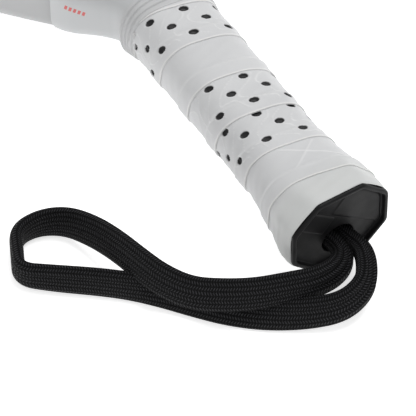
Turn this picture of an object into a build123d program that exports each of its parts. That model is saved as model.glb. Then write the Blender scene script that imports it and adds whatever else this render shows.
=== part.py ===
from build123d import *
import math
import os

# Padel racket lying flat: butt at -Y, head at +Y, hitting face up.
# The origin is under the middle of the racket, on the surface that it lies on.
os.makedirs("parts", exist_ok=True)

# driving sizes, in millimetres; "from the butt" means along +Y from the cap's rim
length = 455.0
head_width = 260.0
head_thick = 38.0
hoop_width = 16.5        # frame tube seen from above
hoop_drop = 136.0        # half length of the head's oval
skin_thick = 1.2
hole_dia = 10.5
hole_step_x = 21.0
hole_step_y = 18.5
hole_margin = 19.0

cap_width = 40.0
cap_height = 36.2
cap_rim = 1.6
cap_recess = 2.0
cap_flange = 1.6
cap_floor_end = 6.0
skirt_end = 34.0
socket_start = 14.0

wrap_width = 32.8        # over the overgrip, where the handle is parallel
wrap_height = 28.9
wrap_thick = 1.0
wrap_end = 112.0
tape_end = 117.0
core_width = 27.8        # over the handle laminate
core_height = 24.0
laminate_thick = 1.3
leg_gap = 3.2
leg_start = 30.0

neck_y = 125.5           # frame root, from the butt
yoke_end = 145.0
yoke_thick = 2.4
root_half_thick = 12.8   # frame at the yoke's end
root_cut = 9.0
arm_full_y = 194.0       # from here on the frame has the head's full thickness
edge_round = 9.0
collar_start = 106.5
collar_end = 120.0

opening_start = 147.0
opening_end = 184.5
opening_low_half = 10.0
opening_high_half = 38.0
opening_round = 6.0
bridge_top = 206.0
damper_length = 8.0
damper_half = 11.0       # half its thickness
protector_thick = 1.6
protector_half = 11.0    # half its width across the edge

pin_y = 22.0             # pins that hold the cap on the handle
pin_inner = 7.0
pin_outer = wrap_width * 0.55 - wrap_thick
pin_radius = 1.2

hole_drop = 7.0          # strap hole below the handle's axis
hole_radius = 6.3
chamber_radius = 7.7
knot_radius = 7.3
knot_clear = 0.3
strap_tube = 5.9         # the braid pulled together to a round tube
strand_half_gap = 3.05

butt_y = -length / 2
axis_z = head_thick / 2
head_y = length - hoop_drop
half_width = head_width / 2

# outside of the overgrip as a share of its parallel size, against distance from the butt
flare = [(1.6, 1.225), (4.0, 1.24), (8.0, 1.23), (14.0, 1.18), (20.0, 1.125), (27.0, 1.065), (34.0, 1.0)]


def octagon(width, height, y, cut=None):
    """Octagon across the handle, y from the butt; cut is how far the corners are taken off in X and Z."""
    cut_x, cut_z = cut or (0.265 * width, 0.29 * height)
    half_x = width / 2
    half_z = height / 2
    points = [
        (half_x, half_z - cut_z), (half_x - cut_x, half_z),
        (cut_x - half_x, half_z), (-half_x, half_z - cut_z),
        (-half_x, cut_z - half_z), (cut_x - half_x, -half_z),
        (half_x - cut_x, -half_z), (half_x, cut_z - half_z),
    ]
    plane = Plane(origin=(0, butt_y + y, axis_z), x_dir=(1, 0, 0), z_dir=(0, -1, 0))
    return plane * make_face(Polyline(*points, close=True))


def tapered(stations):
    """Solid through octagons: stations are (y, width, height) or (y, width, height, cut)."""
    faces = [octagon(width, height, y, *cut) for y, width, height, *cut in stations]
    return loft(faces, ruled=True)


def bar(width, height, start, end):
    return tapered([(start, width, height), (end, width, height)])


def grip_stations(inset):
    """The flared butt end of the grip, moved in by inset."""
    return [(y, wrap_width * k - 2 * inset, wrap_height * k - 2 * inset) for y, k in flare]


def rod(radius, start, end, x=0.0, drop=0.0):
    """Cylinder along the handle between two distances from the butt."""
    plane = Plane(origin=(x, butt_y + end, axis_z - drop), z_dir=(0, -1, 0))
    return extrude(plane * Circle(radius), end - start)


def slab(face, half_thick):
    """Plan face made as thick as twice half_thick about the racket's mid plane."""
    return extrude(Pos(0, 0, axis_z - half_thick) * face, 2 * half_thick)


def plan(points):
    """Mirror-symmetric plan polygon: the right-hand points from low to high, y from the butt."""
    right = [(x, butt_y + y) for x, y in points]
    left = [(-x, y) for x, y in reversed(right)]
    return make_face(Polyline(*right, *left, close=True))


def profile(points):
    """Side view of a thickness that changes along the racket: points are (y, half thickness)."""
    upper = [(butt_y + y, half) for y, half in points]
    lower = [(y, -half) for y, half in reversed(upper)]
    face = make_face(Polyline(*upper, *lower, close=True))
    side = Plane(origin=(-half_width, 0, axis_z), x_dir=(0, 1, 0), z_dir=(1, 0, 0))
    return extrude(side * face, head_width)


def oval(shrink):
    return Pos(0, butt_y + head_y) * Ellipse(half_width - shrink, hoop_drop - shrink)


def arm_touch():
    """Where the straight line from the handle's root touches the head's oval."""
    px = core_width / 2 / half_width
    py = (neck_y - head_y) / hoop_drop
    angle = math.atan2(py, px) + math.acos(1 / math.hypot(px, py))
    return half_width * math.cos(angle), head_y + hoop_drop * math.sin(angle)


def arm_half(y):
    """Half width over the arms, y from the butt."""
    touch_x, touch_y = arm_touch()
    return core_width / 2 + (touch_x - core_width / 2) * (y - neck_y) / (touch_y - neck_y)


def outline():
    """Straight arms that touch the head's oval, and the oval."""
    return plan([(core_width / 2, neck_y), arm_touch()]) + oval(0)


def opening_plan():
    face = plan([(opening_low_half, opening_start), (opening_high_half, opening_end)])
    return fillet(face.vertices(), opening_round)


def bridge_plan():
    slope = (opening_high_half - opening_low_half) / (opening_end - opening_start)
    top_half = opening_high_half + slope * (bridge_top - opening_end)
    return plan([(opening_high_half, opening_end), (top_half, bridge_top)]) - oval(hoop_width)


def protector_band():
    sector = plan([(0.1, head_y), (half_width, head_y + 60), (half_width, length + 5)])
    return slab((oval(0) - oval(protector_thick)) & sector, protector_half)


def frame_root():
    """The two arms where they run together into the handle, inside the yoke."""
    end = (yoke_end, 2 * arm_half(yoke_end), 2 * root_half_thick, (root_cut, root_cut))
    return tapered([(neck_y, core_width, core_height), end])


def legs():
    inner = bar(core_width - 2 * laminate_thick, core_height - 2 * laminate_thick, leg_start, neck_y)
    return inner - slab(plan([(leg_gap / 2, leg_start), (leg_gap / 2, neck_y)]), axis_z)


def frame_tube():
    hoop = slab(outline(), axis_z)
    rims = hoop.edges().filter_by(lambda edge: abs(edge.tangent_at(0.5).Z) < 0.5)
    sides = [edge for edge in rims if edge.center().Y > butt_y + neck_y + 1]
    hoop = fillet(sides, edge_round)
    hoop -= slab(oval(hoop_width) + opening_plan() + bridge_plan(), axis_z)
    thick = [(yoke_end, root_half_thick), (arm_full_y, axis_z), (length + 1, axis_z)]
    hoop = hoop & profile(thick)
    return hoop + frame_root() + legs() - protector_band()


def throat_bridge():
    return slab(bridge_plan(), axis_z)


def face_holes(half_thick):
    """Staggered rows of holes, kept inside the face by hole_margin."""
    reach_x = half_width - hoop_width - hole_margin
    reach_y = hoop_drop - hoop_width - hole_margin
    drills = []
    rows = int(reach_y / hole_step_y)
    columns = int(reach_x / hole_step_x) + 1
    for row in range(-rows, rows + 1):
        shift = 0.5 * hole_step_x * (row % 2)
        for column in range(-columns, columns + 1):
            x = column * hole_step_x + shift
            y = row * hole_step_y
            if (x / reach_x) ** 2 + (y / reach_y) ** 2 < 1:
                drills.append(Pos(x, butt_y + head_y + y, axis_z) * Cylinder(hole_dia / 2, 2 * half_thick))
    return drills


def foam_core():
    return slab(oval(hoop_width), axis_z - skin_thick) - face_holes(axis_z)


def face_skin(side):
    middle = side * (axis_z - skin_thick / 2)
    return Pos(0, 0, middle) * slab(oval(hoop_width), skin_thick / 2) - face_holes(axis_z + 1)


def throat_yoke():
    end_width = 2 * (arm_half(yoke_end) + 1.25 * yoke_thick)
    end_height = 2 * (root_half_thick + yoke_thick)
    cut = root_cut + yoke_thick / 2
    neck = [(tape_end, wrap_width, wrap_height), (collar_end, wrap_width, wrap_height)]
    body = tapered(neck + [(yoke_end, end_width, end_height, (cut, cut))])
    return body - frame_root() - bar(core_width, core_height, tape_end, neck_y)


def vibration_damper():
    block = opening_plan() & plan([(60, opening_start), (60, opening_start + damper_length)])
    return slab(block, damper_half)


def edge_protector():
    return protector_band()


def handle_laminate():
    outer = bar(core_width, core_height, socket_start, neck_y)
    inner = bar(core_width - 2 * laminate_thick, core_height - 2 * laminate_thick, socket_start, neck_y)
    return outer - inner


def handle_foam():
    inner = bar(core_width - 2 * laminate_thick, core_height - 2 * laminate_thick, leg_start, neck_y)
    return inner & slab(plan([(leg_gap / 2, leg_start), (leg_gap / 2, neck_y)]), axis_z)


def butt_plug():
    return bar(core_width - 2 * laminate_thick, core_height - 2 * laminate_thick, socket_start, leg_start)


def cap_pin_rods():
    """Two pins across the skirt, laminate and plug, from both sides."""
    for side in (-1, 1):
        centre = Pos(side * (pin_outer + pin_inner) / 2, butt_y + pin_y, axis_z)
        yield centre * Rot(0, 90, 0) * Cylinder(pin_radius, pin_outer - pin_inner)


def butt_cap():
    flange = bar(cap_width, cap_height, 0, cap_flange)
    flange = chamfer(flange.faces().sort_by(Axis.Y)[0].edges(), 0.5)
    body = flange + tapered(grip_stations(wrap_thick))
    body -= bar(cap_width - 2 * cap_rim, cap_height - 2 * cap_rim, 0, cap_recess)
    body -= rod(hole_radius, 0, cap_floor_end, drop=hole_drop)
    body -= rod(chamber_radius, cap_floor_end, socket_start, drop=hole_drop)
    body -= bar(core_width, core_height, socket_start, skirt_end)
    return body


def base_grip():
    outer = bar(wrap_width - 2 * wrap_thick, wrap_height - 2 * wrap_thick, skirt_end, tape_end)
    return outer - bar(core_width, core_height, skirt_end, tape_end)


def grip_wrap():
    outer = tapered(grip_stations(0) + [(wrap_end, wrap_width, wrap_height)])
    parallel = (wrap_end, wrap_width - 2 * wrap_thick, wrap_height - 2 * wrap_thick)
    return outer - tapered(grip_stations(wrap_thick) + [parallel])


def finishing_tape():
    outer = bar(wrap_width, wrap_height, wrap_end, tape_end)
    return outer - bar(wrap_width - 2 * wrap_thick, wrap_height - 2 * wrap_thick, wrap_end, tape_end)


def grip_collar():
    """Four ribs that grow towards the throat."""
    ribs = 4
    pitch = (collar_end - collar_start) / ribs
    stations = []
    for rib in range(ribs):
        low = collar_start + rib * pitch
        grow = 1.0 + 0.4 * rib
        stations += [(low, wrap_width + grow, wrap_height + grow)]
        stations += [(low + 0.5 * pitch, wrap_width + grow + 0.8, wrap_height + grow + 0.8)]
    stations += [(collar_end, wrap_width + 2.6, wrap_height + 2.6)]
    return tapered(stations) - bar(wrap_width, wrap_height, collar_start, collar_end)


def strap_knot():
    start = cap_floor_end + knot_clear
    end = socket_start - knot_clear
    return fillet(rod(knot_radius, start, end, drop=hole_drop).edges(), 1.2)


# the strap's way: out of the hole, left round the cap's corner, round the loop and back
strap_route = [
    (-3.05, 6.3, -7.0), (-3.05, -2.7, -7.0), (-8.2, -11.0, -6.2), (-18.5, -11.4, -5.4),
    (-30.0, -7.2, -5.5), (-41.5, -2.2, -5.9), (-51.8, 4.6, -5.5), (-59.8, 13.0, -4.8),
    (-64.6, 24.0, -4.7), (-67.2, 36.0, -6.4), (-69.8, 48.0, -9.2), (-74.6, 60.0, -12.2),
    (-83.5, 69.2, -14.2), (-94.6, 68.2, -15.0), (-98.4, 57.5, -15.4), (-91.8, 45.6, -15.9),
    (-80.8, 34.6, -15.95), (-68.5, 22.4, -15.9), (-57.0, 9.6, -15.95), (-44.5, -3.0, -15.9),
    (-31.5, -12.6, -15.95), (-18.0, -19.5, -15.2), (-5.5, -21.5, -12.8), (3.4, -17.5, -8.4),
    (6.0, -10.2, -5.8), (3.05, -2.2, -7.0), (3.05, 6.3, -7.0),
]


def wrist_strap():
    points = [Vector(x, butt_y + y, axis_z + z) for x, y, z in strap_route]
    radii = []
    for before, here, after in zip(points, points[1:], points[2:]):
        turn = math.radians((here - before).get_angle(after - here))
        shorter = min((here - before).length, (after - here).length)
        radii.append(0.45 * shorter / math.tan(turn / 2))
    path = FilletPolyline(*points, radius=radii)
    tube = sweep(Plane(origin=path @ 0, z_dir=path % 0) * Circle(strap_tube / 2), path=path)
    section = math.pi * strap_tube ** 2 / 4
    print("strap radii", [round(r, 1) for r in radii])
    print("strap length", round(path.length, 1), "fill", tube.volume / section / path.length)
    return tube


pins = list(cap_pin_rods())
nodes = {
    "frame_tube": frame_tube(),
    "throat_bridge": throat_bridge(),
    "foam_core": foam_core(),
    "face_skin_top": face_skin(1),
    "face_skin_bottom": face_skin(-1),
    "edge_protector": edge_protector(),
    "throat_yoke": throat_yoke(),
    "vibration_damper": vibration_damper(),
    "handle_laminate": handle_laminate() - pins,
    "handle_foam": handle_foam(),
    "butt_plug": butt_plug() - pins,
    "butt_cap": butt_cap() - pins,
    "cap_pins": Compound(children=pins),
    "base_grip": base_grip(),
    "grip_wrap": grip_wrap(),
    "finishing_tape": finishing_tape(),
    "grip_collar": grip_collar(),
    "strap_knot": strap_knot(),
    "wrist_strap": wrist_strap(),
}
for name, shape in nodes.items():
    export_step(shape, f"parts/{name}.step")
    print(name, round(shape.volume / 1000, 2), "cm3")
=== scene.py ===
import bmesh
import bpy
import math
import numpy as np
from mathutils import Euler, Matrix, Vector


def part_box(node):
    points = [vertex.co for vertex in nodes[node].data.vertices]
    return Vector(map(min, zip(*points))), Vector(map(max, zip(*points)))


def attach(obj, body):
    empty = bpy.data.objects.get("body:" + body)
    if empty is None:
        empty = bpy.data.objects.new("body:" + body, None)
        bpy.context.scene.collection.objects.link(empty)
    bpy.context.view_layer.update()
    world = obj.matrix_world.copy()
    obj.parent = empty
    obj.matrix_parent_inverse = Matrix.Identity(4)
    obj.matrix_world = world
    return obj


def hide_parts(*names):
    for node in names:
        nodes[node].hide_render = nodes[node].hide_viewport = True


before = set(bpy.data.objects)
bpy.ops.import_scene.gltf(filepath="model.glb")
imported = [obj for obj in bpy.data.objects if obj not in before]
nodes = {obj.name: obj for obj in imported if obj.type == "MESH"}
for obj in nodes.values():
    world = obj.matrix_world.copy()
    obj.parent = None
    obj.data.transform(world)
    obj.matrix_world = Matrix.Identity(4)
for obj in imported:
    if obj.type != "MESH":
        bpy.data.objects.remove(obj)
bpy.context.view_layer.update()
scene = bpy.context.scene
mm = 0.001

capLow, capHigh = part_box("butt_cap")
buttY = capLow[1]                        # the cap's rim, the racket's lowest point along Y
axisZ = 0.5 * (capLow[2] + capHigh[2])   # height of the handle's axis over the floor


# Quads over a grid of points in mm, rows along u and columns along v. loopU and loopV join the last
# row or column to the first, keep says which quads stay, weld closes the poles, and attributes are
# values for the paints.
def gridMesh(name, points, loopU=False, loopV=False, uv=None, attributes=None, keep=None, weld=False):
    nu, nv = points.shape[:2]
    index = np.arange(nu * nv).reshape(nu, nv)
    rows = index if not loopU else np.vstack([index, index[:1]])
    full = rows if not loopV else np.hstack([rows, rows[:, :1]])
    quads = np.stack([full[:-1, :-1], full[:-1, 1:], full[1:, 1:], full[1:, :-1]], axis=-1)
    if keep is not None:
        quads = quads[keep[:quads.shape[0], :quads.shape[1]]]
    quads = quads.reshape(-1, 4)
    mesh = bpy.data.meshes.new(name)
    mesh.from_pydata((points.reshape(-1, 3) * mm + [0, buttY, axisZ]).tolist(), [], quads.tolist())
    if uv is not None:
        cornerUv = uv.reshape(-1, 2)[quads].reshape(-1, 2)
        if loopV:                        # the last strip's far corners go one turn on, not back to 0
            wrapped = (quads % nv == 0) & ((quads % nv).max(axis=1) == nv - 1)[:, None]
            cornerUv[:, 1] += wrapped.reshape(-1) * 1.0
        mesh.uv_layers.new(name="UVMap").data.foreach_set("uv", cornerUv.ravel())
    for key, values in (attributes or {}).items():
        layer = mesh.attributes.new(key, "FLOAT", "POINT")
        layer.data.foreach_set("value", np.ascontiguousarray(values.reshape(-1), dtype=np.float32))
    if weld:                             # rings that shrink to a point become one vertex
        shape = bmesh.new()
        shape.from_mesh(mesh)
        bmesh.ops.remove_doubles(shape, verts=shape.verts, dist=1e-6)
        shape.to_mesh(mesh)
        shape.free()
    mesh.validate()
    mesh.shade_smooth()
    piece = bpy.data.objects.new(name, mesh)
    scene.collection.objects.link(piece)
    return piece


# 0 below low, 1 above high, an S curve between.
def smooth(low, high, value):
    t = np.clip((value - low) / (high - low), 0, 1)
    return t * t * (3 - 2 * t)


# Distance from the axis to a rounded octagon: the sum of the shares of its four pairs of sides, each
# to a power. The angle is 0 at the top and grows towards +X.
def octagonRadius(angle, halfWidth, halfHeight, diagonal, power):
    dx, dz = np.sin(angle), np.cos(angle)
    total = np.abs(dx / halfWidth) ** power + np.abs(dz / halfHeight) ** power
    total += np.abs((0.703 * dx + 0.711 * dz) / diagonal) ** power
    total += np.abs((0.703 * dx - 0.711 * dz) / diagonal) ** power
    return total ** (-1 / power)


# Points round the handle's axis at a distance y from the butt.
def ring(angle, radius, y):
    return np.stack([radius * np.sin(angle), y + 0 * angle, radius * np.cos(angle)], axis=-1)


# A node material that is built one step at a time, so that the node trees stay readable.
class Paint:

    def __init__(self, name, colour, roughness, metallic=0.0, specular=0.5,
                 coat=0.0, coatRoughness=0.1, sheen=0.0):
        self.material = bpy.data.materials.new(name)
        self.material.use_nodes = True
        self.tree = self.material.node_tree
        self.shader = self.tree.nodes["Principled BSDF"]
        values = {"Base Color": (*colour, 1), "Roughness": roughness, "Metallic": metallic,
                  "Specular IOR Level": specular, "Coat Weight": coat, "Coat Roughness": coatRoughness,
                  "Sheen Weight": sheen}
        for socket, value in values.items():
            self.shader.inputs[socket].default_value = value

    def node(self, kind, settings=None, **inputs):
        made = self.tree.nodes.new(kind)
        for key, value in (settings or {}).items():
            setattr(made, key, value)
        for key, value in inputs.items():
            self.feed(made.inputs[key.replace("_", " ")], value)
        return made

    def feed(self, socket, value):
        if isinstance(value, bpy.types.NodeSocket):
            self.tree.links.new(value, socket)
        else:
            socket.default_value = value

    def math(self, operation, *values):
        made = self.tree.nodes.new("ShaderNodeMath")
        made.operation = operation
        for socket, value in zip(made.inputs, values):
            self.feed(socket, value)
        return made.outputs[0]

    def objectPoint(self):
        return self.node("ShaderNodeTexCoord").outputs["Object"]

    def noise(self, scale, detail=3.0, roughness=0.5, point=None, stretch=None):
        point = point or self.objectPoint()
        if stretch:
            point = self.node("ShaderNodeMapping", Vector=point, Scale=stretch).outputs[0]
        made = self.node("ShaderNodeTexNoise", Vector=point, Scale=scale, Detail=detail,
                         Roughness=roughness)
        return made.outputs["Fac"]

    def between(self, value, low, high, toLow=0.0, toHigh=1.0):
        made = self.node("ShaderNodeMapRange", {"interpolation_type": "SMOOTHSTEP"})
        for socket, number in zip(made.inputs[:5], (value, low, high, toLow, toHigh)):
            self.feed(socket, number)
        return made.outputs[0]

    def mix(self, factor, first, second):
        made = self.node("ShaderNodeMix", {"data_type": "RGBA"})
        self.feed(made.inputs[0], factor)
        for socket, value in ((made.inputs[6], first), (made.inputs[7], second)):
            self.feed(socket, value if isinstance(value, bpy.types.NodeSocket) else (*value, 1))
        return made.outputs[2]

    def colour(self, output):
        self.feed(self.shader.inputs["Base Color"], output)

    def rough(self, output):
        self.feed(self.shader.inputs["Roughness"], output)

    def bump(self, height, distance, strength=1.0):
        last = self.shader.inputs["Normal"]
        before = last.links[0].from_socket if last.links else None
        made = self.node("ShaderNodeBump", Height=height, Distance=distance, Strength=strength)
        if before:
            self.feed(made.inputs["Normal"], before)
        self.feed(last, made.outputs[0])


def dress(piece, paint):
    piece.data.materials.clear()
    piece.data.materials.append(paint.material)


camera = {
    "place": (-0.4533, -0.8781, 1.0068),
    "heading": -31.5, "elevation": 50.93, "roll": -0.69,      # degrees
    "lens": 312.8, "sensor": 36,                              # mm
}


# Looks down at the butt end of the racket from the front left.
def addCamera():
    lens = bpy.data.cameras.new("camera")
    lens.lens = camera["lens"]
    lens.sensor_width = camera["sensor"]
    lens.clip_end = 20
    body = bpy.data.objects.new("camera", lens)
    turn = Euler((math.radians(90 - camera["elevation"]), 0, math.radians(camera["heading"]))).to_matrix()
    turn = turn @ Matrix.Rotation(math.radians(camera["roll"]), 3, "Z")
    body.matrix_world = Matrix.Translation(camera["place"]) @ turn.to_4x4()
    scene.collection.objects.link(body)
    scene.camera = body


addCamera()
scene.view_settings.view_transform = "Standard"
print("camera placed")


strap = {
    "length": 0.32,
    "width": 0.012,
    "rows": 18,            # rows of braid round the strap
    "stitch": 1.0,         # mm from stitch to stitch
    "lean": 0.8,           # slant of a stitch across its row
    "sections": 0.36,      # mm from section to section
    "turnSteps": 56,       # points round the section
    "squareness": 2.7,     # 2 would be an oval section
    "pleatDepth": 0.34,
    "floorGap": 0.15,
    # metres from the butt's middle: x, y, z, then lean in degrees, width and thickness in mm, pleating
    "route": [
        (-0.0027, 0.0063, -0.0072, 165, 6.0, 5.6, 0.6), (-0.0006, -0.0024, -0.0072, 150, 7.2, 5.0, 1.0),
        (-0.0056, -0.0096, -0.0068, 132, 9.6, 4.6, 1.0), (-0.0160, -0.0117, -0.0058, 119, 11.4, 4.2, 0.6),
        (-0.0280, -0.0080, -0.0055, 119, 12.0, 4.0, 0.2), (-0.0385, -0.0042, -0.0058, 124, 12.0, 4.0, 0),
        (-0.0485, 0.0014, -0.0058, 126, 12.0, 4.0, 0), (-0.0575, 0.0076, -0.0050, 121, 12.0, 4.0, 0),
        (-0.0632, 0.0175, -0.0043, 122, 12.0, 4.0, 0), (-0.0660, 0.0290, -0.0046, 124, 12.0, 4.0, 0),
        (-0.0676, 0.0408, -0.0066, 121, 12.0, 4.0, 0), (-0.0700, 0.0530, -0.0098, 117, 12.0, 4.0, 0),
        (-0.0748, 0.0638, -0.0124, 108, 12.0, 4.0, 0), (-0.0835, 0.0688, -0.0129, 98, 11.6, 4.2, 0),
        (-0.0930, 0.0682, -0.0130, 92, 11.0, 4.8, 0), (-0.0968, 0.0605, -0.0132, 90, 10.8, 4.9, 0),
        (-0.1008, 0.0525, -0.0132, 84, 10.8, 4.8, 0.1), (-0.0920, 0.0448, -0.0131, 76, 11.0, 4.4, 0.3),
        (-0.0795, 0.0348, -0.0129, 78, 12.0, 4.0, 0.2), (-0.0705, 0.0270, -0.0130, 74, 12.0, 4.0, 0),
        (-0.0625, 0.0198, -0.0137, 58, 12.0, 4.0, 0), (-0.0540, 0.0098, -0.0141, 50, 12.0, 4.0, 0),
        (-0.0455, -0.0002, -0.0141, 48, 12.0, 4.0, 0), (-0.0355, -0.0092, -0.0140, 51, 12.0, 4.0, 0),
        (-0.0245, -0.0168, -0.0129, 58, 12.0, 4.0, 0), (-0.0135, -0.0225, -0.0104, 60, 11.4, 4.2, 0.2),
        (-0.0034, -0.0206, -0.0082, 55, 10.2, 4.5, 0.7), (0.0018, -0.0142, -0.0066, 44, 8.6, 4.7, 1.0),
        (0.0048, -0.0068, -0.0070, 34, 7.4, 5.0, 1.0), (0.0038, 0.0002, -0.0080, 22, 5.6, 5.4, 0.8),
        (0.0033, 0.0063, -0.0076, 15, 5.6, 5.4, 0.6),
    ],
}


# Points along one smooth curve that has the given control points.
def splinePoints(triples):
    curve = bpy.data.curves.new("line", "CURVE")
    curve.dimensions = "3D"
    curve.resolution_u = 14
    line = curve.splines.new("NURBS")
    line.points.add(len(triples) - 1)
    for point, triple in zip(line.points, triples):
        point.co = (*triple, 1)
    line.order_u = 3
    line.use_endpoint_u = True
    carrier = bpy.data.objects.new("line", curve)
    scene.collection.objects.link(carrier)
    bpy.context.view_layer.update()
    mesh = bpy.data.meshes.new_from_object(carrier)
    found = np.array([vertex.co[:] for vertex in mesh.vertices])
    bpy.data.objects.remove(carrier)
    bpy.data.meshes.remove(mesh)
    return found


# Braid: rows along the strap, each a line of slanted stitches that leans the other way in the next
# row. The stitch crests carry a painted highlight.
def braidPaint():
    paint = Paint("blackBraid", (0.008, 0.008, 0.009), 0.7, specular=0.14, sheen=0.02)
    uv = paint.node("ShaderNodeUVMap", {"uv_map": "UVMap"}).outputs[0]
    split = paint.node("ShaderNodeSeparateXYZ", Vector=uv)
    along, around = split.outputs[0], split.outputs[1]
    rows = paint.math("MULTIPLY", around, float(strap["rows"]))
    odd = paint.math("MODULO", paint.math("FLOOR", rows), 2.0)
    side = paint.math("SUBTRACT", paint.math("MULTIPLY", odd, 2.0), 1.0)
    inRow = paint.math("SUBTRACT", paint.math("FRACT", rows), 0.5)
    slant = paint.math("MULTIPLY", paint.math("MULTIPLY", side, inRow), strap["lean"])
    phase = paint.math("MULTIPLY", paint.math("ADD", along, slant), 2 * math.pi)
    wave = paint.math("ADD", paint.math("MULTIPLY", paint.math("COSINE", phase), 0.5), 0.5)
    ridge = paint.math("COSINE", paint.math("MULTIPLY", inRow, math.pi))
    stitch = paint.math("MULTIPLY", paint.math("POWER", wave, 0.8), paint.math("POWER", ridge, 0.7))
    # painted highlight: the stitch crests are coloured lighter, as if they caught the light
    stitchHighlight = paint.math("MULTIPLY", paint.between(stitch, 0.35, 1.0), paint.noise(2200, 2.0))
    paint.colour(paint.mix(paint.math("MULTIPLY", stitchHighlight, 1.5), (0.002, 0.002, 0.0025), (0.05, 0.05, 0.055)))
    paint.rough(paint.between(stitch, 0.2, 1.0, 0.8, 0.5))
    paint.bump(stitch, 0.0006, 1.0)
    return paint


# A rounded flat section carried along the route: across = half width times cos, out = half thickness
# times sin, both sharpened to a rounded box and turned about the route by the lean. Pleats ripple the
# thickness, and both ends are closed.
def wristStrap(paint):
    table = np.array(strap["route"])
    path = splinePoints(table[:, :3].tolist()) / mm
    turned = splinePoints(table[:, 3:6].tolist())
    pleat = splinePoints(np.c_[table[:, 6], table[:, 6], table[:, 6]].tolist())[:, 0]
    step = np.linalg.norm(np.diff(path, axis=0), axis=1)
    travelled = np.concatenate([[0], np.cumsum(step)])
    count = int(travelled[-1] / strap["sections"])
    even = np.linspace(0, travelled[-1], count)
    path = np.stack([np.interp(even, travelled, path[:, k]) for k in range(3)], axis=-1)
    lean, width, thick = (np.interp(even, travelled, turned[:, k]) for k in range(3))
    pleat = np.interp(even, travelled, pleat)
    tangent = np.gradient(path, axis=0)
    for _ in range(3):
        tangent[1:-1] = (tangent[:-2] + 2 * tangent[1:-1] + tangent[2:]) / 4
    tangent /= np.linalg.norm(tangent, axis=1, keepdims=True)
    inward = np.cross([0, 0, 1], tangent)
    inward /= np.linalg.norm(inward, axis=1, keepdims=True)
    upward = np.cross(tangent, inward)
    lean = np.radians(lean)[:, None]
    across = np.cos(lean) * inward + np.sin(lean) * upward
    out = -np.sin(lean) * inward + np.cos(lean) * upward
    turn = np.linspace(0, 2 * np.pi, strap["turnSteps"], endpoint=False)
    power = 2 / strap["squareness"]
    wide = np.sign(np.cos(turn)) * np.abs(np.cos(turn)) ** power
    deep = np.sign(np.sin(turn)) * np.abs(np.sin(turn)) ** power
    ripple = 1 + strap["pleatDepth"] * pleat[:, None] * np.cos(3.5 * np.pi * wide)[None, :]
    soft = 1 + 0.02 * np.sin(even / 9.0)[:, None]
    offset = (0.5 * width)[:, None, None] * wide[None, :, None] * across[:, None, :] * soft[..., None]
    offset = offset + (0.5 * thick)[:, None, None] * (deep[None, :] * ripple)[..., None] * out[:, None, :]
    points = path[:, None, :] + offset
    lowest = strap["floorGap"] - axisZ / mm          # it lies on the floor, not in it
    points[..., 2] = np.maximum(points[..., 2], lowest)
    edge = np.hypot(np.gradient(wide), np.gradient(deep) * 0.33)
    share = np.cumsum(edge) / edge.sum()
    uv = np.stack(np.broadcast_arrays(even[:, None] / strap["stitch"], share[None, :]), axis=-1)
    closed = [np.repeat(path[end, None, None], points.shape[1], axis=1) for end in (0, -1)]
    points = np.concatenate([closed[0], points, closed[1]])
    uv = np.concatenate([uv[:1], uv, uv[-1:]])
    piece = gridMesh("wristStrap", points, loopV=True, uv=uv, weld=True)
    dress(piece, paint)
    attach(piece, "strap")
    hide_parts("wrist_strap")
    print("strap", round(float(even[-1]), 1), "mm long")


braid = braidPaint()
wristStrap(braid)
dress(nodes["strap_knot"], braid)


grip = {
    "width": 32.75, "height": 28.85,
    "flareY": [0, 1.6, 4, 7, 10, 15, 20, 25, 30, 36, 104, 118],
    "flare": [1.215, 1.23, 1.24, 1.238, 1.22, 1.165, 1.125, 1.085, 1.045, 1.0, 1.0, 1.03],
    # distance of the tape's edge from the butt, turn by turn, where it crosses the handle's top
    "creases": [-25.3, -6.2, 12.9, 32.0, 51.0, 70.0, 89.6, 109.5, 129.5],
    "firstCrease": -2,
    "firstTurn": -1.7, "lastTurn": 5.4, "turnStep": 1 / 240,
    "start": 1.5, "end": 116.8,
    "step": 0.38,                            # thickness of the tape's edge
    "overlap": 0.36,                         # share of the turn that lies on the turn before
    "overlapSwell": 0.035,                   # width of the soft ridge where the turn below ends
    "holeRadius": 1.62, "holeDepth": 1.0, "holeRim": 0.13,
    "embossHeight": 0.22,
    "pucker": 0.3,                           # soft folds beside the butt
    # turn, first hole from the top, first row above the crease, hole spacing, row spacing
    "perforated": [(1, -6.2, 5.9, 13.6, 6.2), (2, -0.4, 5.5, 13.4, 6.2), (4, -1.4, 5.1, 13.4, 6.2)],
    "plainFrom": 2.17, "plainTo": 3,         # turns wound, the tape's second plain stretch
    "rowShift": -5.2,
}


# Distance of the grip's surface from the handle's axis, in mm: a rounded octagon that flares towards
# the butt, fuller at its lower left.
def gripShape(angle, y):
    k = np.interp(y, grip["flareY"], grip["flare"])
    bulge = np.exp(-((y - 7) / 7) ** 2) * np.clip(-0.75 * np.sin(angle) - 0.66 * np.cos(angle), 0, 1) ** 2
    k = k * (1 + 0.035 * bulge)
    sharp = 8 + 12 * (1 - smooth(3, 26, y))
    diagonal = 1.055 - 0.06 * (1 - smooth(4, 28, y))
    halfWidth = 0.5 * grip["width"] * k
    return octagonRadius(angle, halfWidth, 0.5 * grip["height"] * k, diagonal * halfWidth, sharp)


# Distance along the surface from the top against angle, on the straight part of the handle.
def gripGirth():
    angle = np.linspace(-np.pi, np.pi, 1441)
    points = ring(angle, gripShape(angle, 60 + 0 * angle), 0)
    run = np.concatenate([[0], np.cumsum(np.linalg.norm(np.diff(points, axis=0), axis=1))])
    return angle, run - run[-1] / 2


# Distance from the butt of the tape's lower edge against the number of turns wound: the creases
# joined by straight lines, with a slight wander.
def creaseY(turns):
    first = grip["firstCrease"]
    wander = 0.35 * np.sin(2 * np.pi * (turns * 1.31 + 0.2)) + 0.2 * np.sin(2 * np.pi * (turns * 2.77))
    return np.interp(turns, np.arange(first, first + len(grip["creases"])), grip["creases"]) + wander
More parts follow.
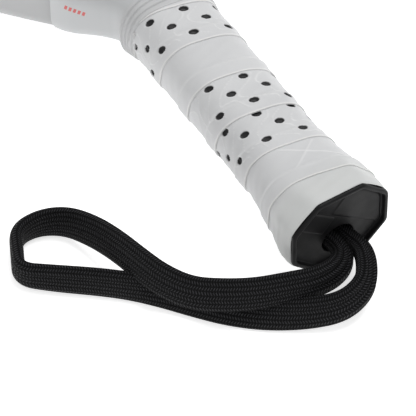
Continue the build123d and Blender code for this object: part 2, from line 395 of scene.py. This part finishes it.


# Soft tape: fine grain, faint moulded ridges, dark perforations with pale rims that are a painted
# highlight, a painted highlight along each tape edge and painted shade in the creases on the handle's left
# side.
def overgripPaint():
    paint = Paint("greyOvergrip", (0.60, 0.61, 0.635), 0.55, specular=0.4, sheen=0.08)
    gap = paint.node("ShaderNodeAttribute", {"attribute_name": "holeGap"}).outputs["Fac"]
    creaseShade = paint.node("ShaderNodeAttribute", {"attribute_name": "creaseShade"}).outputs["Fac"]
    emboss = paint.node("ShaderNodeAttribute", {"attribute_name": "emboss"}).outputs["Fac"]
    clouds = paint.noise(60, 3.0)
    base = paint.mix(clouds, (0.575, 0.58, 0.59), (0.655, 0.66, 0.665))
    flareTone = paint.node("ShaderNodeAttribute", {"attribute_name": "butt"}).outputs["Fac"]
    base = paint.mix(paint.math("MULTIPLY", flareTone, 0.5), base, (0.56, 0.575, 0.555))
    base = paint.mix(paint.math("MULTIPLY", emboss, 0.6), base, (0.86, 0.86, 0.86))
    # painted highlight along the tape's edge, where the raised edge catches the light
    ridge = paint.node("ShaderNodeAttribute", {"attribute_name": "ridge"}).outputs["Fac"]
    base = paint.mix(paint.math("MULTIPLY", ridge, 0.55), base, (0.86, 0.855, 0.835))
    # painted shade: the creases under the tape's edge darken on the handle's left side
    base = paint.mix(paint.math("MULTIPLY", creaseShade, 0.7), base, (0.10, 0.095, 0.09))
    # painted highlight: the raised rims round the holes are coloured lighter, as if lit
    rim = paint.math("MULTIPLY", paint.between(gap, 0.0, 0.9, 1.0, 0.0), 0.3)
    base = paint.mix(rim, base, (0.74, 0.74, 0.75))
    paint.colour(paint.mix(paint.between(gap, -0.22, 0.02, 1.0, 0.0), base, (0.012, 0.012, 0.013)))
    paint.rough(paint.between(clouds, 0.3, 0.7, 0.48, 0.6))
    paint.bump(paint.noise(900, 3.0), 0.00008, 0.5)
    paint.bump(paint.noise(130, 2.0), 0.0005, 0.18)
    return paint


# The tape's outer face on a helix: height = grip surface + a doubled layer over the overlap + rim and
# dimple at each perforation, on a grid of turns wound by share of the tape's width.
def overgrip(paint):
    angleTable, runTable = gripGirth()
    girth = runTable[-1] - runTable[0]
    turns = np.arange(grip["firstTurn"], grip["lastTurn"], grip["turnStep"])[:, None]
    edge = np.array([-0.0005, 0.0, 0.002, 0.007, 0.015, 0.028])
    inner = np.linspace(0.05, 1.0, 44)
    share = np.concatenate([edge, inner, [1.015]])[None, :]
    low, high = creaseY(turns), creaseY(turns + 1)
    run = (np.round(turns) - turns) * girth
    angle = np.interp(run, runTable, angleTable)
    y = low + share * (high - low)
    rise = np.interp(share, [*edge, 0.05], [-0.5, 0.1, 0.5, 0.82, 0.95, 1.0, 1.0])
    swell = np.exp(-((share - grip["overlap"] + 0.03) / grip["overlapSwell"]) ** 2)
    layer = rise * (1 - smooth(grip["overlap"] - 0.05, grip["overlap"] + 0.06, share))
    layer = layer + 0.5 * swell + 0.35 * np.exp(-((share - 0.02) / 0.02) ** 2)
    fade = smooth(-0.42, -0.12, turns)
    height = grip["step"] * layer * fade - 0.05 * smooth(0.97, 1.015, share)
    ripple = np.sin(y * 0.55 + 2.1 * np.sin(angle)) * np.sin(angle * 3 + y * 0.21)
    height = height + 0.07 * ripple + 0.05 * np.sin(y * 1.3 - angle * 5)
    gap = np.full((turns.shape[0], share.shape[1]), 9.0)
    band = np.round(turns)
    holedTurns = (turns < grip["plainFrom"]) | (turns > grip["plainTo"])
    for turn, first, rowStart, spacing, rowStep in grip["perforated"]:
        for row in range(3):
            above = share * (high - low) - rowStart - row * rowStep
            along = run - first - row * grip["rowShift"]
            along = along - spacing * np.round(along / spacing)
            here = (band == turn) & (np.abs(run) < 0.485 * girth) & holedTurns
            clear = np.where(here, np.hypot(0.84 * along, 1.2 * above), 9)
            gap = np.minimum(gap, clear - grip["holeRadius"])
    height = height + grip["holeRim"] * np.exp(-((gap - 0.25) / 0.4) ** 2)
    height = height - grip["holeDepth"] * smooth(0.05, -0.55, gap)
    holed = np.isin(band, [row[0] for row in grip["perforated"]])
    swirl = np.sin(0.42 * run + 1.9 * np.sin(0.33 * y) + band)
    swirl = swirl + 0.8 * np.sin(0.5 * y - 0.21 * run + 1.3 * np.sin(0.27 * run))
    swirl = np.exp(-(swirl / 0.09) ** 2) * holed * smooth(0.3, 1.0, gap)
    crossed = np.minimum(np.abs(0.8 * run + y - 27.5), np.abs(0.8 * run - y + 24.5))
    crossed = (band == 0) * np.exp(-(crossed / 0.3) ** 2) * smooth(13, 9, np.abs(run - 5))
    emboss = np.clip(swirl * 0.8 + crossed * smooth(0.3, 0.4, share), 0, 1)
    emboss = emboss * smooth(0.1, 0.2, share) * smooth(0.99, 0.93, share)
    height = height + grip["embossHeight"] * emboss
    pucker = np.sin(0.5 * run + 0.35 * y) * np.sin(0.17 * run - 0.9)
    height = height + grip["pucker"] * np.exp(-((y - 9) / 8) ** 2) * pucker
    held = np.clip(y, grip["start"], grip["end"])
    radius = gripShape(angle, held) + 0.05 + height
    tucked = radius - 0.25 * smooth(grip["start"] + 0.6, grip["start"], y)
    radius = np.where(y < grip["start"] + 0.3, tucked, radius)
    points = np.stack([radius * np.sin(angle), held, radius * np.cos(angle)], axis=-1)
    # painted shade mask: the crease at the tape's edge, only on the handle's left side, away from the light
    creaseShade = smooth(0.99, 1.003, share) * smooth(-1.0, -1.7, angle)
    # painted highlight mask: the tape's edge, plus a faint one on the swell where the turn below ends
    ridge = np.exp(-((share - 0.016) / 0.018) ** 2) + 0.15 * swell
    corners = np.stack([y[:-1, :-1], y[1:, 1:], y[1:, :-1], y[:-1, 1:]])
    keep = (corners.max(axis=0) > grip["start"]) & (corners.min(axis=0) < grip["end"])
    shades = {"holeGap": gap, "creaseShade": np.clip(creaseShade, 0, 1) * fade, "emboss": emboss,
              "butt": 1 - smooth(8, 22, y), "ridge": ridge * fade}
    uv = np.stack(np.broadcast_arrays(turns * girth, y), axis=-1)
    piece = gridMesh("overgrip", points, keep=keep, uv=uv, attributes=shades)
    dress(piece, paint)
    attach(piece, "racket")
    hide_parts("grip_wrap")
    print("overgrip", len(piece.data.polygons), "faces")


overgrip(overgripPaint())


collar = {
    "low": 110.2, "slope": -0.19, "end": 120.2,
    "ribs": 4, "ribHeight": 0.6,
    "firstRise": 0.6, "lastRise": 2.2,       # over the grip, below and above
    "tuck": 0.4,                             # both edges turn in under the surface
    "onGripAt": 104,
}


# Ribs round the grip's upper end: they follow the tape's slant below and the yoke above. Height = a
# steady growth + a rounded tooth for each rib.
def gripCollar(paint):
    angleTable, runTable = gripGirth()
    angle = np.linspace(-np.pi, np.pi, 360, endpoint=False)[None, :]
    share = np.concatenate([[0, 0.002], np.linspace(0.012, 0.99, 80), [1.0]])[:, None]
    run = np.interp(angle, angleTable, runTable)
    slant = collar["slope"] * run * np.cos(np.pi * run / runTable[-1] / 2)
    slanted = collar["low"] + slant + 0.4 * np.sin(2 * angle)
    y = slanted + share * (collar["end"] - slanted)
    tooth = (share * collar["ribs"]) % 1.0
    lump = smooth(0, 0.28, tooth) * (1 - 0.75 * smooth(0.35, 1.0, tooth))
    height = collar["firstRise"] + (collar["lastRise"] - collar["firstRise"]) * share
    height = height + collar["ribHeight"] * (lump - 0.4)
    height = height + 0.10 * np.sin(angle * 3 + y) * (1 - share)
    height = np.where((share < 0.001) | (share > 0.995), -collar["tuck"], height)
    radius = gripShape(angle, collar["onGripAt"] + 0 * y) + height
    points = np.stack([radius * np.sin(angle), y, radius * np.cos(angle)], axis=-1)
    piece = gridMesh("gripCollar", points, loopV=True)
    dress(piece, paint)
    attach(piece, "racket")
    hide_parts("grip_collar")
    print("collar", len(piece.data.polygons), "faces")


# Light rubber with a fine satin grain.
def collarPaint():
    paint = Paint("greyRubber", (0.55, 0.555, 0.56), 0.5, specular=0.4)
    tone = paint.noise(90, 3.0)
    paint.colour(paint.mix(tone, (0.50, 0.505, 0.51), (0.60, 0.605, 0.61)))
    paint.rough(paint.between(tone, 0.3, 0.7, 0.42, 0.58))
    paint.bump(paint.noise(1200, 2.0), 0.00005, 0.4)
    return paint


gripCollar(collarPaint())


yoke = {
    # mm from the butt, then half sizes of the section there
    "y": [117.6, 120, 123, 126, 129, 132, 135, 138, 141, 143, 144.6],
    "halfWidth": [16.6, 16.7, 16.6, 17.7, 20.0, 23.0, 26.1, 29.4, 31.6, 32.6, 33.1],
    "halfHeight": [14.7, 14.6, 14.4, 14.3, 14.15, 14.0, 14.3, 14.6, 14.95, 15.15, 15.3],
    "squareness": [2.7, 5.0],                # at the grip and at the far end
    "wall": 2.3, "roll": 0.7,
    "markFrom": (-30.3, 139.0, 4.2), "markTo": (-24.6, 132.9, 1.7),
    "marks": 5, "markShare": 0.62,
    "markHalf": 0.001,                       # half height, in metres
}


# Shell over the arms' root: sections are super-ellipses whose half sizes grow along the racket. The
# outer face, its rolled end, the inner face and the start make one closed sleeve.
def throatYoke(paint):
    angle = np.linspace(-np.pi, np.pi, 320, endpoint=False)[None, :]
    y = np.linspace(yoke["y"][0], yoke["y"][-1], 90)
    width = np.interp(y, yoke["y"], yoke["halfWidth"])
    height = np.interp(y, yoke["y"], yoke["halfHeight"])
    for _ in range(6):
        width[1:-1] = (width[:-2] + width[1:-1] + width[2:]) / 3
        height[1:-1] = (height[:-2] + height[1:-1] + height[2:]) / 3
    roll = np.radians(np.linspace(15, 90, 6))
    rollOut = yoke["roll"] * (1 - np.cos(roll))
    inward = np.concatenate([0 * y, rollOut, [1.5, yoke["wall"]], 0 * y[::-3] + yoke["wall"]])
    rollY = y[-1] + yoke["roll"] * np.sin(roll)
    allY = np.concatenate([y, rollY, [rollY[-1], rollY[-1] - 0.1], y[::-3]])
    allWidth = np.interp(allY, y, width)[:, None] - inward[:, None]
    allHeight = np.interp(allY, y, height)[:, None] - inward[:, None]
    power = np.interp(allY, [118, 145], yoke["squareness"])[:, None]
    across = np.abs(np.sin(angle) / allWidth) ** power
    radius = (across + np.abs(np.cos(angle) / allHeight) ** power) ** (-1 / power)
    points = np.stack([radius * np.sin(angle), allY[:, None] + 0 * angle, radius * np.cos(angle)], axis=-1)
    piece = gridMesh("throatYoke", points, loopU=True, loopV=True)
    dress(piece, paint)
    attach(piece, "racket")
    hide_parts("throat_yoke")
    print("yoke", len(piece.data.polygons), "faces")


# Satin lacquer: slow changes of tone and a faint orange-peel surface. The yoke also has five small
# red dashes along a line, each a share of the line's length.
def lacquerPaint(name, low, high, marks=False):
    paint = Paint(name, high, 0.38, specular=0.45, coat=0.25, coatRoughness=0.3)
    tone = paint.noise(35, 3.0)
    base = paint.mix(tone, low, high)
    if marks:
        middle = Vector((0, buttY, axisZ))
        start, stop = (middle + mm * Vector(yoke[end]) for end in ("markFrom", "markTo"))
        run = (stop - start).normalized()
        point = paint.node("ShaderNodeVectorMath", {"operation": "SUBTRACT"})
        paint.feed(point.inputs[0], paint.objectPoint())
        point.inputs[1].default_value = start
        along = paint.node("ShaderNodeVectorMath", {"operation": "DOT_PRODUCT"})
        paint.feed(along.inputs[0], point.outputs[0])
        along.inputs[1].default_value = run
        height = paint.node("ShaderNodeSeparateXYZ", Vector=point.outputs[0]).outputs[2]
        aside = paint.node("ShaderNodeSeparateXYZ", Vector=paint.objectPoint()).outputs[0]
        place = paint.math("DIVIDE", along.outputs["Value"], (stop - start).length)
        repeat = paint.math("FRACT", paint.math("MULTIPLY", place, float(yoke["marks"])))
        dash = paint.math("LESS_THAN", repeat, yoke["markShare"])
        begun = paint.math("GREATER_THAN", place, 0.0)
        inside = paint.math("MULTIPLY", begun, paint.math("LESS_THAN", place, 1.0))
        sink = paint.math("MULTIPLY", place, (start - stop).z)
        above = paint.math("ABSOLUTE", paint.math("ADD", height, sink))
        level = paint.math("LESS_THAN", above, yoke["markHalf"])
        left = paint.math("LESS_THAN", aside, -0.015)
        dashes = paint.math("MULTIPLY", dash, inside)
        mask = paint.math("MULTIPLY", dashes, paint.math("MULTIPLY", level, left))
        base = paint.mix(paint.math("MULTIPLY", mask, 0.9), base, (0.62, 0.06, 0.05))
    paint.colour(base)
    paint.rough(paint.between(tone, 0.3, 0.7, 0.34, 0.44))
    paint.bump(paint.noise(500, 2.0), 0.00005, 0.25)
    return paint


throatYoke(lacquerPaint("yokeLacquer", (0.50, 0.51, 0.52), (0.56, 0.57, 0.575), marks=True))


cap = {
    "halfWidth": 20.0, "halfHeight": 18.1, "diagonal": 19.5, "corner": 42,
    "hole": (0.0, -7.2), "holeEdge": 7.0,
    "floor": 2.0, "floorInset": 2.3, "relief": 0.32,
    # distance from the rim, half height
    "skirt": [(34.0, 13.0), (27.0, 13.9), (20.0, 14.8), (14.0, 15.7), (8.0, 16.5), (4.0, 16.7),
              (1.8, 16.4)],
    # distance from the rim, inset from the outline
    "flange": [(1.62, 0.25), (1.55, 0.06), (1.4, 0), (0.75, 0), (0.45, 0.08), (0.18, 0.28), (0.04, 0.5),
               (0, 0.75), (0, 1.15), (0.06, 1.38), (0.25, 1.52), (0.6, 1.58), (1.5, 1.66), (1.85, 1.76),
               (1.98, 2.0)],
    # radius, distance from the rim: the hole's edge, its bore and the chamber for the knot
    "bore": [(6.85, 2.02), (6.6, 2.12), (6.42, 2.3), (6.32, 2.55), (6.3, 2.9), (6.3, 5.95), (7.7, 6.0),
             (7.7, 13.75), (0.0, 13.75)],
    "back": [13.95, 33.9],
}


# The cap's rounded octagon, drawn in by an inset.
def capOutline(angle, inset):
    sizes = [cap[key] - inset for key in ("halfWidth", "halfHeight", "diagonal")]
    return octagonRadius(angle, *sizes, cap["corner"])


# One closed shell of rings: back, skirt, flange, rim, recess wall, a floor that runs from the octagon
# to the round hole, the hole's rounded edge, the bore and the knot's chamber.
def buttCap(paint):
    angle = np.linspace(-np.pi, np.pi, 360, endpoint=False)
    centre = np.array([cap["hole"][0], 0, cap["hole"][1]])
    core = octagonRadius(angle, 13.9, 12.0, 13.3, 30)
    rings = [ring(angle, 0 * angle, cap["back"][0])]
    rings += [ring(angle, core, y) for y in cap["back"]]
    rings += [ring(angle, octagonRadius(angle, 1.11 * r, r, 1.08 * r, 20), y) for y, r in cap["skirt"]]
    rings += [ring(angle, capOutline(angle, inset), y) for y, inset in cap["flange"]]
    outer = ring(angle, capOutline(angle, cap["floorInset"]), cap["floor"])
    toward = np.arctan2(outer[:, 0] - centre[0], outer[:, 2] - centre[2])
    hole = centre + ring(toward, cap["holeEdge"] + 0 * angle, cap["floor"])
    blend = np.linspace(0, 1, 70)[:, None, None]
    floor = outer[None] * (1 - blend) + hole[None] * blend
    x, z = floor[..., 0], floor[..., 2]
    slope, rest = 0.64 * x + 0.77 * z, 0.77 * x - 0.64 * z
    plate = smooth(-0.25, 0.25, slope - 4.5) * smooth(-0.25, 0.25, rest + 7.5)       # raised square corner
    ledge = smooth(-0.25, 0.25, -rest - 5.0) * smooth(-0.25, 0.25, slope + 4.5)
    ledge = ledge * smooth(0.25, -0.25, slope - 3.2)                                 # low step beside it
    edge = smooth(0.0, 0.06, blend[..., 0]) * smooth(1.0, 0.94, blend[..., 0])
    floor[..., 1] -= cap["relief"] * (plate + 0.7 * ledge) * edge
    rings += list(floor)
    rings += [centre + ring(toward, radius + 0 * angle, y) for radius, y in cap["bore"]]
    piece = gridMesh("buttCap", np.stack(rings)[::-1], loopV=True, weld=True)
    dress(piece, paint)
    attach(piece, "racket")
    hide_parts("butt_cap")
    print("butt cap", len(piece.data.polygons), "faces")


# Satin black moulding with a fine spark-eroded grain.
def capPaint():
    paint = Paint("blackMoulding", (0.008, 0.008, 0.0085), 0.55, specular=0.16)
    tone = paint.noise(140, 3.0)
    paint.colour(paint.mix(tone, (0.005, 0.005, 0.0055), (0.009, 0.009, 0.0095)))
    paint.rough(paint.between(tone, 0.3, 0.7, 0.44, 0.56))
    paint.bump(paint.noise(2600, 2.0), 0.00004, 0.5)
    return paint


buttCap(capPaint())


# Racket face: satin light grey with a fine sandy grain.
def faceSkinPaint():
    paint = Paint("faceSkin", (0.60, 0.61, 0.625), 0.55, specular=0.4)
    tone = paint.noise(25, 2.0)
    grain = paint.noise(2400, 2.0)
    paint.colour(paint.mix(tone, (0.57, 0.58, 0.60), (0.63, 0.64, 0.655)))
    paint.rough(paint.between(grain, 0.3, 0.7, 0.5, 0.7))
    paint.bump(grain, 0.00012, 0.8)
    return paint


# Two close tones and a grain of one size.
def plainPaint(name, low, high, roughness, scale, bumpDepth, **more):
    paint = Paint(name, high, roughness, **more)
    tone = paint.noise(scale, 3.0)
    paint.colour(paint.mix(tone, low, high))
    paint.rough(paint.between(tone, 0.3, 0.7, roughness - 0.06, roughness + 0.08))
    paint.bump(paint.noise(scale * 9, 2.0), bumpDepth, 0.6)
    return paint


# Dark laminate: two crossing sets of fine threads.
def fibrePaint():
    paint = Paint("fibreLaminate", (0.03, 0.03, 0.034), 0.35, specular=0.5, coat=0.4)
    threads = 3200.0                     # radians of weave to the metre
    point = paint.node("ShaderNodeSeparateXYZ", Vector=paint.objectPoint())
    x, y, z = point.outputs
    first = paint.math("SINE", paint.math("MULTIPLY", paint.math("ADD", x, y), threads))
    second = paint.math("SINE", paint.math("MULTIPLY", paint.math("SUBTRACT", y, z), threads))
    weave = paint.between(paint.math("MULTIPLY", first, second), -1, 1)
    paint.colour(paint.mix(weave, (0.015, 0.015, 0.018), (0.06, 0.06, 0.066)))
    paint.bump(weave, 0.00005, 0.4)
    return paint


frameLacquer = lacquerPaint("frameLacquer", (0.43, 0.435, 0.44), (0.49, 0.495, 0.50))
faceSkin = faceSkinPaint()
fibre = fibrePaint()
finishes = {
    "frame_tube": frameLacquer, "throat_bridge": frameLacquer,
    "face_skin_top": faceSkin, "face_skin_bottom": faceSkin,
    "foam_core": plainPaint("coreFoam", (0.70, 0.70, 0.67), (0.80, 0.80, 0.77),
                            0.85, 400, 0.0002, specular=0.2),
    "edge_protector": plainPaint("edgeStrip", (0.42, 0.43, 0.45), (0.48, 0.49, 0.51), 0.4, 80, 0.00004),
    "vibration_damper": plainPaint("damperRubber", (0.03, 0.03, 0.033), (0.045, 0.045, 0.05),
                                   0.6, 200, 0.0001),
    "handle_laminate": fibre,
    "handle_foam": plainPaint("fillerFoam", (0.25, 0.25, 0.24), (0.33, 0.33, 0.32),
                              0.9, 500, 0.0002, specular=0.2),
    "butt_plug": plainPaint("plugPlastic", (0.03, 0.03, 0.032), (0.045, 0.045, 0.048), 0.5, 150, 0.00005),
    "cap_pins": plainPaint("pinSteel", (0.50, 0.50, 0.50), (0.60, 0.60, 0.60),
                           0.3, 300, 0.00003, metallic=1.0),
    "base_grip": plainPaint("cushionGrip", (0.015, 0.015, 0.016), (0.028, 0.028, 0.03),
                            0.75, 260, 0.0001),
    "finishing_tape": plainPaint("finishingTape", (0.50, 0.50, 0.50), (0.58, 0.58, 0.58),
                                 0.6, 300, 0.0001),
}
for name, paint in finishes.items():
    dress(nodes[name], paint)
print("finishes on", len(finishes), "carried-over nodes")


studio = {
    "world": 0.48, "glow": 0.64, "floor": 3,
    "aim": (0, -0.15, 0),
    # place, size and watts
    "key": ((0.5, 0.0, 1.45), 0.9, 13.5),
    "fill": ((-0.9, -0.9, 0.9), 1.0, 0.6),
}


# A pale floor with a little light of its own, so that the shadows on it stay faint.
def addFloor():
    mesh = bpy.data.meshes.new("floor")
    far = studio["floor"]
    mesh.from_pydata([(-far, -far, 0), (far, -far, 0), (far, far, 0), (-far, far, 0)], [], [(0, 1, 2, 3)])
    floor = bpy.data.objects.new("floor", mesh)
    scene.collection.objects.link(floor)
    paint = Paint("paleFloor", (0.9, 0.9, 0.9), 0.9, specular=0.1)
    paint.shader.inputs["Emission Color"].default_value = (1, 1, 1, 1)
    paint.shader.inputs["Emission Strength"].default_value = studio["glow"]
    dress(floor, paint)


def areaLight(name, place, size, power):
    data = bpy.data.lights.new(name, "AREA")
    data.size = size
    data.energy = power
    light = bpy.data.objects.new(name, data)
    light.location = place
    light.rotation_euler = (Vector(studio["aim"]) - Vector(place)).to_track_quat("-Z", "Y").to_euler()
    scene.collection.objects.link(light)


def addLight():
    world = bpy.data.worlds.new("studio")
    world.use_nodes = True
    world.node_tree.nodes["Background"].inputs[0].default_value = (1, 1, 1, 1)
    world.node_tree.nodes["Background"].inputs[1].default_value = studio["world"]
    scene.world = world
    for name in ("key", "fill"):
        areaLight(name, *studio[name])


addFloor()
addLight()

print("all pieces made")
